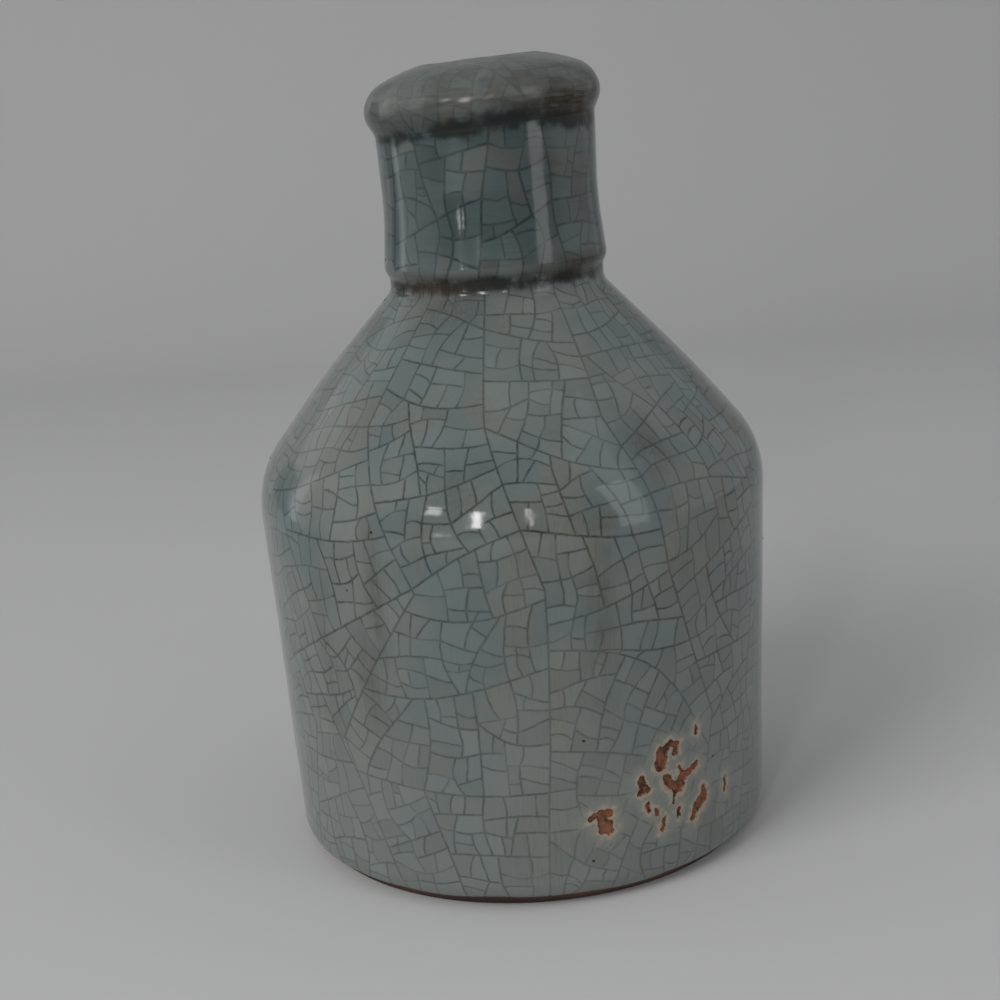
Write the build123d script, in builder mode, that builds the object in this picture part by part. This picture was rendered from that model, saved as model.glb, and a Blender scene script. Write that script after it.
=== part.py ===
from build123d import *
import os
from math import cos, radians, sin, tan

# Bottle vase of joined earthenware sections under a thick crackle glaze.
# Millimetres, +Z up, origin at the middle of the foot on the table, front towards -Y.

# Foot and base, bare clay
FOOT_DIAMETER = 140.8          # wall line carried down to the table
FOOT_HEIGHT = 3.0
FOOT_RING_WIDTH = 13.0         # what stands on the table, round a shallow recess
FOOT_EDGE_RADIUS = 1.0
BEVEL_INSET = 4.4              # trimmed off the foot's corner
BEVEL_HEIGHT = 5.0
BEVEL_RADIUS = 9.0
BASE_THICKNESS = 7.0

# Body wall and shoulder, bare clay; diameters and heights are of the corners before rounding
SHOULDER_DIAMETER = 149.3
SHOULDER_HEIGHT = 113.3
SHOULDER_RADIUS = 29.0
SLOPE_RISE = 50.8              # from the shoulder's corner to the throat's
SLOPE_SWELL = 1.4              # how far the middle of the slope stands out of a straight line
SLOPE_REACH = 10.3             # how far its bend reaches up and down the slope
THROAT_RADIUS = 4.8
WALL_THICKNESS = 6.5
SHOULDER_THICKNESS = 6.5
INNER_FLOOR_RADIUS = 9.0
INNER_SHOULDER_RADIUS = 22.0
INNER_THROAT_RADIUS = 9.0
SHOULDER_SEAM_DROP = 6.0       # seam under the start of the shoulder's turn

# Neck, bare clay; each rise is measured from the corner below it, along the neck's own axis
NECK_LEAN_DEG = 0.7            # towards -X
NECK_LENGTH = 40.7
NECK_DIAMETER = 60.8           # at the throat, and again at the neck's waist
NECK_WALL = 6.4
GROOVE_LAND = 1.3              # plain band each side of the seam, in the groove
GROOVE_RADIUS = 1.8
BEAD_PROUD = 1.4
BEAD_RISE = 2.3
BEAD_RADIUS = 3.0
WAIST_RISE = 16.4
WAIST_REACH = 7.0              # how far the waist's bend reaches up and down the neck
NECK_FLARE = 0.55
NECK_TOP_LAND = 3.5            # plain band under the lip's seam
NECK_TOP_REACH = 0.6

# Lip, bare clay; each rise is measured from the corner below it, along the lip's own axis
LIP_LEAN_DEG = 2.4             # further lean towards -X
LIP_LAND = 2.0                 # from the seam to the cove under the lip
LIP_COVE_RADIUS = 3.0
LIP_OVERHANG = 2.95
LIP_RISE = 6.0
LIP_SIDE_RADIUS = 6.5
LIP_BROW_INSET = 3.3           # from the lip's widest line
LIP_BROW_RISE = 6.6
LIP_BROW_RADIUS = 8.0
LIP_CREST_RISE = 5.7
LIP_CREST_RADIUS = 3.0
LIP_CEILING_RISE = 8.0         # from the seam to the ceiling at the neck bore
LIP_CEILING_RADIUS = 5.0
MOUTH_EDGE_RISE = 3.5          # from the ceiling to the lower edge of the mouth
MOUTH_EDGE_RADIUS = 2.5
MOUTH_DIAMETER = 23.0
MOUTH_FLARE = 1.0              # from the mouth's lower edge out to the crest

# Slip beds and the ring keys that locate each section on the one below
SLIP_THICKNESS = 0.4
KEY_WIDTH = 2.8
KEY_HEIGHT = 1.5
KEY_ROOT = 1.2
KEY_SIDE_DEG = 75.0

# Glaze coats
GLAZE_THICKNESS = 0.8
LINING_THICKNESS = 0.8
GLAZE_LINE_HEIGHT = 2.4        # bare clay shows under this height
MOUTH_COAT_DEPTH = 5.2         # the outer coat ends this far down the mouth's wall

# Chips through the outer glaze, low on the right of the front:
# azimuth and turn in degrees, then height, length and breadth as shares
CHIP_LENGTH = 9.0
CHIP_SHARES = (
    (-59, 20, 0.348, 0.90, 0.60),
    (-55, -35, 0.276, 1.00, 0.70),
    (-65, 80, 0.280, 0.60, 0.38),
    (-64, 10, 0.224, 0.30, 0.26),
    (-62, -20, 0.207, 0.32, 0.28),
    (-57, 85, 0.226, 0.45, 0.20),
    (-50, -60, 0.190, 1.10, 0.36),
    (-60, 85, 0.168, 0.55, 0.24),
    (-41, 80, 0.204, 0.60, 0.20),
    (-51, 85, 0.387, 0.50, 0.18),
    (-75, -40, 0.213, 0.85, 0.62),
)
CHIP_OUTLINE_SHARES = (
    (-0.5, -0.1),
    (-0.2, -0.5),
    (0.2, -0.3),
    (0.5, -0.2),
    (0.3, 0.25),
    (0.0, 0.5),
    (-0.3, 0.3),
)

OVERRUN = 3.0                  # how far stock and cutters pass a cut

foot_r = FOOT_DIAMETER / 2
foot_contact_r = foot_r - BEVEL_INSET
foot_recess_r = foot_contact_r - FOOT_RING_WIDTH
shoulder_r = SHOULDER_DIAMETER / 2
throat_r = NECK_DIAMETER / 2
bore_r = throat_r - NECK_WALL
neck_top_r = throat_r + NECK_FLARE
lip_r = neck_top_r + LIP_OVERHANG
mouth_r = MOUTH_DIAMETER / 2


def runs_of(corners):
    """Directions of the straight runs between an outline's corners."""
    return [(Vector(*end) - Vector(*start)).normalized() for start, end in zip(corners, corners[1:])]


def moved(corners, depths):
    """Corners of an outline after each run is moved to its left by its own depth."""
    normals = [Vector(-run.Y, run.X) for run in runs_of(corners)]
    points = [Vector(*corners[0]) + normals[0] * depths[0]]
    for index in range(1, len(corners) - 1):
        before, after = normals[index - 1], normals[index]
        cross = before.X * after.Y - before.Y * after.X
        shift_x = (depths[index - 1] * after.Y - depths[index] * before.Y) / cross
        shift_y = (depths[index] * before.X - depths[index - 1] * after.X) / cross
        points.append(Vector(*corners[index]) + Vector(shift_x, shift_y))
    points.append(Vector(*corners[-1]) + normals[-1] * depths[-1])
    return [(point.X, point.Y) for point in points]


def coated(corners, radii, depth):
    """An outline and its corner radii, moved evenly to the left of its runs."""
    runs = runs_of(corners)
    grown = []
    for radius, before, after in zip(radii, runs, runs[1:]):
        turn = before.X * after.Y - before.Y * after.X
        grown.append(radius - depth if turn > 0 else radius + depth)
    return moved(corners, [depth] * len(runs)), grown


def tangent_length(corners, radius):
    """How far a rounding of this radius reaches from the middle one of three corners."""
    before, after = runs_of(corners)
    return radius * tan(radians(before.get_angle(after)) / 2)


def reaching(corners, reach):
    """Radius of the rounding that reaches this far from the middle one of three corners."""
    return reach / tangent_length(corners, 1)


def outline(corners, radii):
    """Draw an outline through its corners, rounded where it has any."""
    if radii:
        FilletPolyline(*corners, radius=radii)
    else:
        Line(*corners)


def between(outer, outer_radii, inner, inner_radii):
    """Section of radius and height between two outlines that run the same way."""
    with BuildSketch() as section:
        with BuildLine():
            outline(outer, outer_radii)
            outline(inner, inner_radii)
            Line(outer[0], inner[0])
            Line(outer[-1], inner[-1])
        make_face()
    return section.sketch


def slice_of(section, bottom, top, bore=0):
    """The part of a section between two heights and outside a bore radius."""
    with BuildSketch() as cut:
        add(section)
        with Locations((bore, bottom)):
            Rectangle(SHOULDER_DIAMETER, top - bottom, align=(Align.MIN, Align.MIN), mode=Mode.INTERSECT)
    return cut.sketch


def key_section(radius, seam, clearance=0):
    """The ring key over a seam, or with a clearance the groove that takes it."""
    with BuildSketch() as key:
        with Locations((radius, seam - KEY_ROOT)):
            Trapezoid(
                KEY_WIDTH + 2 * clearance,
                KEY_ROOT + KEY_HEIGHT + clearance,
                KEY_SIDE_DEG,
                align=(Align.CENTER, Align.MIN),
            )
    return key.sketch


def section_plane(pivot, direction, height):
    """Plane of radius and height about a leaning axis, with the pivot at the given height."""
    radial = Vector(0, 1, 0).cross(direction)
    return Plane(origin=pivot - direction * height, x_dir=radial, z_dir=radial.cross(direction))


def bed_slip(section, radius, seam):
    """Section of a slip bed: the gap over a level seam and round its key."""
    with BuildSketch() as bed:
        add(slice_of(key_section(radius, seam, SLIP_THICKNESS), seam, seam + KEY_HEIGHT + SLIP_THICKNESS))
        add(slice_of(section, seam, seam + SLIP_THICKNESS))
        add(key_section(radius, seam), mode=Mode.SUBTRACT)
    return bed.sketch


# Heights of the seams, from the table up
foot_seam = FOOT_HEIGHT
base_seam = foot_seam + SLIP_THICKNESS + BASE_THICKNESS
throat_height = SHOULDER_HEIGHT + SLOPE_RISE
wall_slope = (shoulder_r - foot_r) / SHOULDER_HEIGHT
slope_bottom, slope_top = moved([(shoulder_r, SHOULDER_HEIGHT), (throat_r, throat_height)], [-SLOPE_SWELL])
slope_middle = (Vector(*slope_bottom) + Vector(*slope_top)) / 2
body_corners = [
    (0, 0),
    (foot_contact_r, 0),
    (foot_r + wall_slope * BEVEL_HEIGHT, BEVEL_HEIGHT),
    (shoulder_r, SHOULDER_HEIGHT),
    (slope_middle.X, slope_middle.Y),
    (throat_r, throat_height),
]
shoulder_seam = SHOULDER_HEIGHT - tangent_length(body_corners[2:5], SHOULDER_RADIUS) - SHOULDER_SEAM_DROP
throat_run = [body_corners[4], body_corners[5], (throat_r, throat_height + OVERRUN)]
neck_seam = throat_height + tangent_length(throat_run, THROAT_RADIUS) + GROOVE_LAND
lip_seam = neck_seam + NECK_LENGTH

# Leaning axes; each bed plane halves the angle between the two axes that meet on it
neck_pivot = Vector(0, 0, neck_seam)
neck_direction = Vector(0, 0, 1).rotate(Axis.Y, -NECK_LEAN_DEG)
neck_axis = Axis(neck_pivot, neck_direction)
neck_plane = section_plane(neck_pivot, neck_direction, neck_seam)
neck_bed = Plane(origin=neck_pivot, z_dir=Vector(0, 0, 1) + neck_direction)
lip_pivot = neck_pivot + neck_direction * NECK_LENGTH
lip_direction = neck_direction.rotate(Axis.Y, -LIP_LEAN_DEG)
lip_axis = Axis(lip_pivot, lip_direction)
lip_plane = section_plane(lip_pivot, lip_direction, lip_seam)
lip_bed = Plane(origin=lip_pivot, z_dir=neck_direction + lip_direction)

# Body section, with the throat carried past the neck's seam; the bore follows the wall line, not the bevel
body_corners.append((throat_r, neck_seam + OVERRUN))
body_radii = [
    FOOT_EDGE_RADIUS,
    BEVEL_RADIUS,
    SHOULDER_RADIUS,
    reaching(body_corners[3:6], SLOPE_REACH),
    THROAT_RADIUS,
]
body_depths = [base_seam, WALL_THICKNESS, SHOULDER_THICKNESS, SHOULDER_THICKNESS, NECK_WALL]
body_bore = moved([(0, 0), (foot_r, 0)] + body_corners[3:], body_depths)
body_bore_radii = [
    INNER_FLOOR_RADIUS,
    INNER_SHOULDER_RADIUS,
    reaching(body_bore[2:5], SLOPE_REACH),
    INNER_THROAT_RADIUS,
]
body_section = between(body_corners, body_radii, body_bore, body_bore_radii)

# Neck section, carried past both of its seams
bead_height = neck_seam + GROOVE_LAND + BEAD_RISE
neck_corners = [
    (throat_r, neck_seam - OVERRUN),
    (throat_r, neck_seam + GROOVE_LAND),
    (throat_r + BEAD_PROUD, bead_height),
    (throat_r, bead_height + WAIST_RISE),
    (neck_top_r, lip_seam - NECK_TOP_LAND),
    (neck_top_r, lip_seam + OVERRUN),
]
neck_radii = [
    GROOVE_RADIUS,
    BEAD_RADIUS,
    reaching(neck_corners[2:5], WAIST_REACH),
    reaching(neck_corners[3:6], NECK_TOP_REACH),
]
neck_bore = [(bore_r, neck_seam - OVERRUN), (bore_r, lip_seam + OVERRUN)]
neck_section = between(neck_corners, neck_radii, neck_bore, [])

# Lip section: outside up over the crest, then back along the ceiling to the neck bore
lip_bottom = lip_seam - OVERRUN
lip_widest = lip_seam + LIP_LAND + LIP_RISE
lip_brow = lip_widest + LIP_BROW_RISE
lip_crest = lip_brow + LIP_CREST_RISE
lip_ceiling = lip_seam + LIP_CEILING_RISE
lip_corners = [
    (neck_top_r, lip_bottom),
    (neck_top_r, lip_seam + LIP_LAND),
    (lip_r, lip_widest),
    (lip_r - LIP_BROW_INSET, lip_brow),
    (mouth_r + MOUTH_FLARE, lip_crest),
    (mouth_r, lip_ceiling + MOUTH_EDGE_RISE),
    (bore_r, lip_ceiling),
    (bore_r, lip_bottom),
]
lip_radii = [
    LIP_COVE_RADIUS,
    LIP_SIDE_RADIUS,
    LIP_BROW_RADIUS,
    LIP_CREST_RADIUS,
    MOUTH_EDGE_RADIUS,
    LIP_CEILING_RADIUS,
]
with BuildSketch() as lip_sketch:
    with BuildLine():
        FilletPolyline(*lip_corners, radius=lip_radii)
        Line(lip_corners[-1], lip_corners[0])
    make_face()
lip_section = lip_sketch.sketch

# Radii of the ring keys: the middle of each bed
foot_key_r = (foot_recess_r + foot_contact_r) / 2
base_key_r = foot_r + wall_slope * base_seam - WALL_THICKNESS / 2
shoulder_key_r = foot_r + wall_slope * shoulder_seam - WALL_THICKNESS / 2
neck_key_r = (throat_r + bore_r) / 2
lip_key_r = (neck_top_r + bore_r) / 2

# Foot ring: a turned coil of bare clay that the pot stands on
with BuildPart() as foot_ring:
    with BuildSketch(Plane.XZ):
        add(slice_of(body_section, 0, foot_seam, foot_recess_r))
        add(key_section(foot_key_r, foot_seam))
    revolve(axis=Axis.Z)
foot_ring.part.label = "foot_ring"

# Base disc: the floor of the pot, grooved below for the foot and keyed above for the wall
with BuildPart() as base_disc:
    with BuildSketch(Plane.XZ):
        add(slice_of(body_section, foot_seam + SLIP_THICKNESS, base_seam))
        add(key_section(foot_key_r, foot_seam, SLIP_THICKNESS), mode=Mode.SUBTRACT)
        add(key_section(base_key_r, base_seam))
    revolve(axis=Axis.Z)
base_disc.part.label = "base_disc"

# Body wall: the thrown cylinder
with BuildPart() as body_wall:
    with BuildSketch(Plane.XZ):
        add(slice_of(body_section, base_seam + SLIP_THICKNESS, shoulder_seam))
        add(key_section(base_key_r, base_seam, SLIP_THICKNESS), mode=Mode.SUBTRACT)
        add(key_section(shoulder_key_r, shoulder_seam))
    revolve(axis=Axis.Z)
body_wall.part.label = "body_wall"

# Shoulder: the sloping top, cut a little aslant where the neck beds on it
with BuildPart() as shoulder:
    with BuildSketch(Plane.XZ):
        add(slice_of(body_section, shoulder_seam + SLIP_THICKNESS, neck_seam + OVERRUN))
        add(key_section(shoulder_key_r, shoulder_seam, SLIP_THICKNESS), mode=Mode.SUBTRACT)
    revolve(axis=Axis.Z)
    split(bisect_by=neck_bed.offset(-SLIP_THICKNESS), keep=Keep.BOTTOM)
    with BuildSketch(neck_plane):
        add(key_section(neck_key_r, neck_seam))
    revolve(axis=neck_axis)
shoulder.part.label = "shoulder"

# Neck collar: set on leaning, with a bead over the groove
with BuildPart() as neck_collar:
    with BuildSketch(neck_plane):
        add(neck_section)
        add(key_section(neck_key_r, neck_seam, SLIP_THICKNESS), mode=Mode.SUBTRACT)
    revolve(axis=neck_axis)
    split(bisect_by=neck_bed, keep=Keep.TOP)
    split(bisect_by=lip_bed.offset(-SLIP_THICKNESS), keep=Keep.BOTTOM)
    with BuildSketch(lip_plane):
        add(key_section(lip_key_r, lip_seam))
    revolve(axis=lip_axis)
neck_collar.part.label = "neck_collar"

# Lip: a broad rounded roll, drawn in to the mouth
with BuildPart() as lip_roll:
    with BuildSketch(lip_plane):
        add(lip_section)
        add(key_section(lip_key_r, lip_seam, SLIP_THICKNESS), mode=Mode.SUBTRACT)
    revolve(axis=lip_axis)
    split(bisect_by=lip_bed, keep=Keep.TOP)
lip_roll.part.label = "lip_roll"

# Slip beds of the level seams
with BuildPart() as foot_slip:
    with BuildSketch(Plane.XZ):
        foot_stock = slice_of(body_section, 0, base_seam, foot_recess_r)
        add(bed_slip(foot_stock, foot_key_r, foot_seam))
    revolve(axis=Axis.Z)
foot_slip.part.label = "foot_slip"

# The base is solid clay, so this bed is bounded by the bore of the wall that stands on it
with BuildPart() as base_slip:
    with BuildSketch(Plane.XZ):
        add(bed_slip(body_section, base_key_r, base_seam))
    revolve(axis=Axis.Z)
base_slip.part.label = "base_slip"

with BuildPart() as shoulder_slip:
    with BuildSketch(Plane.XZ):
        add(bed_slip(body_section, shoulder_key_r, shoulder_seam))
    revolve(axis=Axis.Z)
shoulder_slip.part.label = "shoulder_slip"


def leaning_slip(section, plane, axis, bed, upper_plane, upper_axis, radius, seam):
    """Slip bed of a leaning seam: a ring of the lower section, and the gap round the key."""
    with BuildPart() as ring:
        with BuildSketch(plane):
            add(slice_of(section, seam - OVERRUN, seam + OVERRUN))
        revolve(axis=axis)
        split(bisect_by=bed, keep=Keep.BOTTOM)
        with BuildSketch(upper_plane):
            add(key_section(radius, seam, SLIP_THICKNESS))
        revolve(axis=upper_axis)
        split(bisect_by=bed.offset(-SLIP_THICKNESS), keep=Keep.TOP)
        with BuildSketch(upper_plane):
            add(key_section(radius, seam))
        revolve(axis=upper_axis, mode=Mode.SUBTRACT)
    return ring.part


# Slip beds of the two leaning seams
with BuildPart() as neck_slip:
    add(leaning_slip(body_section, Plane.XZ, Axis.Z, neck_bed, neck_plane, neck_axis, neck_key_r, neck_seam))
neck_slip.part.label = "neck_slip"

with BuildPart() as lip_slip:
    add(leaning_slip(neck_section, neck_plane, neck_axis, lip_bed, lip_plane, lip_axis, lip_key_r, lip_seam))
lip_slip.part.label = "lip_slip"


def turned(section, plane, axis, above=None, below=None):
    """A section turned about an axis and kept between two bed planes."""
    with BuildPart() as coat:
        with BuildSketch(plane):
            add(section)
        revolve(axis=axis)
        if above:
            split(bisect_by=above, keep=Keep.TOP)
        if below:
            split(bisect_by=below, keep=Keep.BOTTOM)
    return coat.part


# Outer glaze: one coat over body, neck and lip, ending inside the mouth and above the foot
mouth_top = lip_corners.index((mouth_r + MOUTH_FLARE, lip_crest))
mouth_end = Vector(*lip_corners[mouth_top]) + runs_of(lip_corners)[mouth_top] * MOUTH_COAT_DEPTH
mouth_seam = (mouth_end.X, mouth_end.Y)
lip_outside = lip_corners[:mouth_top + 1] + [mouth_seam]
lip_outside_radii = lip_radii[:mouth_top]
body_coat, body_coat_radii = coated(body_corners, body_radii, -GLAZE_THICKNESS)
neck_coat, neck_coat_radii = coated(neck_corners, neck_radii, -GLAZE_THICKNESS)
lip_coat, lip_coat_radii = coated(lip_outside, lip_outside_radii, -GLAZE_THICKNESS)
body_coat_section = slice_of(
    between(body_coat, body_coat_radii, body_corners, body_radii),
    GLAZE_LINE_HEIGHT,
    neck_seam + OVERRUN,
)
neck_coat_section = between(neck_coat, neck_coat_radii, neck_corners, neck_radii)
lip_coat_section = between(lip_coat, lip_coat_radii, lip_outside, lip_outside_radii)
body_glaze = turned(body_coat_section, Plane.XZ, Axis.Z, below=neck_bed)
neck_glaze = turned(neck_coat_section, neck_plane, neck_axis, above=neck_bed, below=lip_bed)
lip_glaze = turned(lip_coat_section, lip_plane, lip_axis, above=lip_bed)

with BuildPart() as outer_glaze:
    add(body_glaze)
    add(neck_glaze)
    add(lip_glaze)
    for azimuth, turn, height_share, length_share, breadth_share in CHIP_SHARES:
        chip_height = height_share * SHOULDER_HEIGHT
        outward = Vector(cos(radians(azimuth)), sin(radians(azimuth)), 0)
        on_wall = outward * (foot_r + wall_slope * chip_height) + Vector(0, 0, chip_height)
        chip_plane = Plane(origin=on_wall, x_dir=Vector(0, 0, 1).cross(outward), z_dir=outward)
        with BuildSketch(chip_plane.rotated((0, 0, turn))):
            with BuildLine():
                Polyline(
                    [
                        (CHIP_LENGTH * length_share * along, CHIP_LENGTH * breadth_share * across)
                        for along, across in CHIP_OUTLINE_SHARES
                    ],
                    close=True,
                )
            make_face()
        extrude(amount=OVERRUN, both=True, mode=Mode.SUBTRACT)
outer_glaze.part.label = "outer_glaze"

# Inner glaze: the lining of floor, body, neck and the underside of the lip
body_lining, body_lining_radii = coated(body_bore, body_bore_radii, LINING_THICKNESS)
neck_lining = moved(neck_bore, [LINING_THICKNESS])
lip_inside = [mouth_seam] + lip_corners[mouth_top + 1:]
lip_inside_radii = lip_radii[mouth_top:]
lip_lining, lip_lining_radii = coated(lip_inside, lip_inside_radii, -LINING_THICKNESS)
body_lining_section = between(body_bore, body_bore_radii, body_lining, body_lining_radii)
neck_lining_section = between(neck_bore, [], neck_lining, [])
lip_lining_section = between(lip_lining, lip_lining_radii, lip_inside, lip_inside_radii)
body_liner = turned(body_lining_section, Plane.XZ, Axis.Z, below=neck_bed)
neck_liner = turned(neck_lining_section, neck_plane, neck_axis, above=neck_bed, below=lip_bed)
lip_liner = turned(lip_lining_section, lip_plane, lip_axis, above=lip_bed)

with BuildPart() as inner_glaze:
    add(body_liner)
    add(neck_liner)
    add(lip_liner)
inner_glaze.part.label = "inner_glaze"

os.makedirs("parts", exist_ok=True)
for piece in (
    foot_ring,
    base_disc,
    body_wall,
    shoulder,
    neck_collar,
    lip_roll,
    foot_slip,
    base_slip,
    shoulder_slip,
    neck_slip,
    lip_slip,
    outer_glaze,
    inner_glaze,
):
    export_step(piece.part, f"parts/{piece.part.label}.step")
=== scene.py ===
import math
import random

import bpy
import numpy as np
from mathutils import Matrix, Vector
from mathutils.geometry import delaunay_2d_cdt


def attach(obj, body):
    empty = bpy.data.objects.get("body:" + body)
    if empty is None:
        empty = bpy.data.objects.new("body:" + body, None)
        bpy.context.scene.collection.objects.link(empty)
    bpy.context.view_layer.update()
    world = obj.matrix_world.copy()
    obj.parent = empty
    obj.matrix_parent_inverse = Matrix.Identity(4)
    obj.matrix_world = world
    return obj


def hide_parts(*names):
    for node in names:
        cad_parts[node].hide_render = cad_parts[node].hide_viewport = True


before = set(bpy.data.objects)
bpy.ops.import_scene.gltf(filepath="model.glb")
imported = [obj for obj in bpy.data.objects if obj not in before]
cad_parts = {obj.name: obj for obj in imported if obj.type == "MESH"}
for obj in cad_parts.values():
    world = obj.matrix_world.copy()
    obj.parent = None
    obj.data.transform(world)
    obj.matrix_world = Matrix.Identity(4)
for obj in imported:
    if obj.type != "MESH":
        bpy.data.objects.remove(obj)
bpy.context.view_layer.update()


# Clay members: foot ring, base, body wall, shoulder, neck collar and lip, each thrown or slab built in
# iron-bearing earthenware and fired to bare terracotta. Most of it lies under glaze; it shows on the
# foot, under the pot and in the breaks of the coat.
CLAY_MEMBERS = ("foot_ring", "base_disc", "body_wall", "shoulder", "neck_collar", "lip_roll")
CLAY_RED = (0.245, 0.098, 0.055, 1)
CLAY_DARK = (0.105, 0.047, 0.030, 1)
CLAY_PALE = (0.400, 0.220, 0.135, 1)
# Painted contact shade: near the floor the clay darkens to the colour below, up to the height after it.
CLAY_FOOT_SHADE = (0.022, 0.012, 0.009, 1)
FOOT_SHADE_TOP = 0.0065


def new_finish(name, roughness):
    """A material with an empty node tree, and its shader already on the output."""
    finish = bpy.data.materials.new(name)
    finish.use_nodes = True
    tree = finish.node_tree
    tree.nodes.clear()
    shader = tree.nodes.new("ShaderNodeBsdfPrincipled")
    shader.inputs["Roughness"].default_value = roughness
    output = tree.nodes.new("ShaderNodeOutputMaterial")
    tree.links.new(shader.outputs["BSDF"], output.inputs["Surface"])
    return finish, tree, shader


def add(tree, kind, feeds=None, **settings):
    """Adds a node; each feed is a plain value or another node's output socket."""
    node = tree.nodes.new(kind)
    for name, value in settings.items():
        setattr(node, name, value)
    for socket, value in (feeds or {}).items():
        if isinstance(value, bpy.types.NodeSocket):
            tree.links.new(value, node.inputs[socket])
        else:
            node.inputs[socket].default_value = value
    return node


def in_place(tree, stretch=(1, 1, 1)):
    """The object's own coordinates, stretched along its axes."""
    place = add(tree, "ShaderNodeTexCoord").outputs["Object"]
    return add(tree, "ShaderNodeMapping", {"Vector": place, "Scale": stretch}).outputs["Vector"]


def mottle(tree, place, scale, detail=3.0, rough=0.55):
    """Soft clouds of 0 to 1, as wide as one over the scale in metres."""
    feeds = {"Vector": place, "Scale": scale, "Detail": detail, "Roughness": rough}
    return add(tree, "ShaderNodeTexNoise", feeds).outputs["Fac"]


def span(tree, value, low, high, start=0.0, end=1.0):
    """Takes a value from low..high to start..end, eased at both ends."""
    feeds = {"Value": value, "From Min": low, "From Max": high, "To Min": start, "To Max": end}
    node = add(tree, "ShaderNodeMapRange", feeds, interpolation_type="SMOOTHSTEP")
    return node.outputs["Result"]


def worked(tree, kind, first, second):
    """Plain arithmetic on two values."""
    return add(tree, "ShaderNodeMath", {0: first, 1: second}, operation=kind).outputs[0]


def product(tree, *values):
    """All the values multiplied together."""
    result = values[0]
    for value in values[1:]:
        result = worked(tree, "MULTIPLY", result, value)
    return result


def tint(tree, amount, under, over, blend="MIX"):
    """Lays one colour over another by an amount."""
    feeds = {0: amount, 6: under, 7: over}
    return add(tree, "ShaderNodeMix", feeds, data_type="RGBA", blend_type=blend).outputs[2]


def relief(tree, shader, height, depth):
    """Bumps the shader's normal by a height of 0 to 1 that is so many metres deep."""
    node = add(tree, "ShaderNodeBump", {"Height": height, "Distance": depth, "Strength": 1.0})
    tree.links.new(node.outputs["Normal"], shader.inputs["Normal"])


def fired_clay(name, red, dark, pale):
    """Earthenware: clouded red-brown, with iron specks, pale grog, a sandy surface and painted contact shade
    darkening its foot near the floor.
    """
    finish, tree, shader = new_finish(name, 0.86)
    place = in_place(tree)
    clouds = span(tree, mottle(tree, place, 70, 4), 0.35, 0.68)
    colour = tint(tree, clouds, red, dark)
    grog = span(tree, mottle(tree, place, 1400, 2), 0.62, 0.72)
    colour = tint(tree, product(tree, grog, 0.7), colour, pale)
    iron = span(tree, mottle(tree, place, 900, 1), 0.66, 0.74)
    colour = tint(tree, product(tree, iron, 0.8), colour, dark)
    height = add(tree, "ShaderNodeSeparateXYZ", {0: place}).outputs["Z"]
    # Painted contact shade: the clay darkens to near black over the last few millimetres above the floor.
    foot_shade_level = worked(tree, "ADD", height, span(tree, mottle(tree, place, 35, 3), 0.35, 0.65, -0.002, 0.002))
    colour = tint(tree, span(tree, foot_shade_level, FOOT_SHADE_TOP, 0.0, 0.0, 0.92), colour, CLAY_FOOT_SHADE)
    tree.links.new(colour, shader.inputs["Base Color"])
    relief(tree, shader, mottle(tree, place, 1100, 4, 0.65), 0.0003)
    return finish


def dress(node, finish):
    """Gives a solid its finish, in place of the plain one."""
    bpy.data.objects[node].data.materials.clear()
    bpy.data.objects[node].data.materials.append(finish)


terracotta = fired_clay("terracotta", CLAY_RED, CLAY_DARK, CLAY_PALE)
for member in CLAY_MEMBERS:
    dress(member, terracotta)


# Slip beds: thin layers of liquid clay that the potter brushed on to join one member to the next,
# fired hard with the rest. They lie inside the wall and are a little paler than the clay.
SLIP_BEDS = ("foot_slip", "base_slip", "shoulder_slip", "neck_slip", "lip_slip")
SLIP_RED = (0.300, 0.140, 0.085, 1)

slip = fired_clay("slip", SLIP_RED, CLAY_RED, CLAY_PALE)
for bed in SLIP_BEDS:
    dress(bed, slip)


# Lining glaze: the thinner coat poured round the inside, from the mouth to the floor. It runs in
# vertical tears and stays plainer than the outside.
LINING_GREY = (0.135, 0.165, 0.150, 1)
LINING_BROWN = (0.120, 0.098, 0.070, 1)

lining, lining_tree, lining_shader = new_finish("lining_glaze", 0.22)
lining_tears = mottle(lining_tree, in_place(lining_tree, (1, 1, 0.12)), 220, 3)
lining_colour = tint(lining_tree, span(lining_tree, lining_tears, 0.40, 0.65), LINING_GREY, LINING_BROWN)
lining_tree.links.new(lining_colour, lining_shader.inputs["Base Color"])
relief(lining_tree, lining_shader, mottle(lining_tree, in_place(lining_tree), 260, 2), 0.0002)
dress("inner_glaze", lining)


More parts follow.
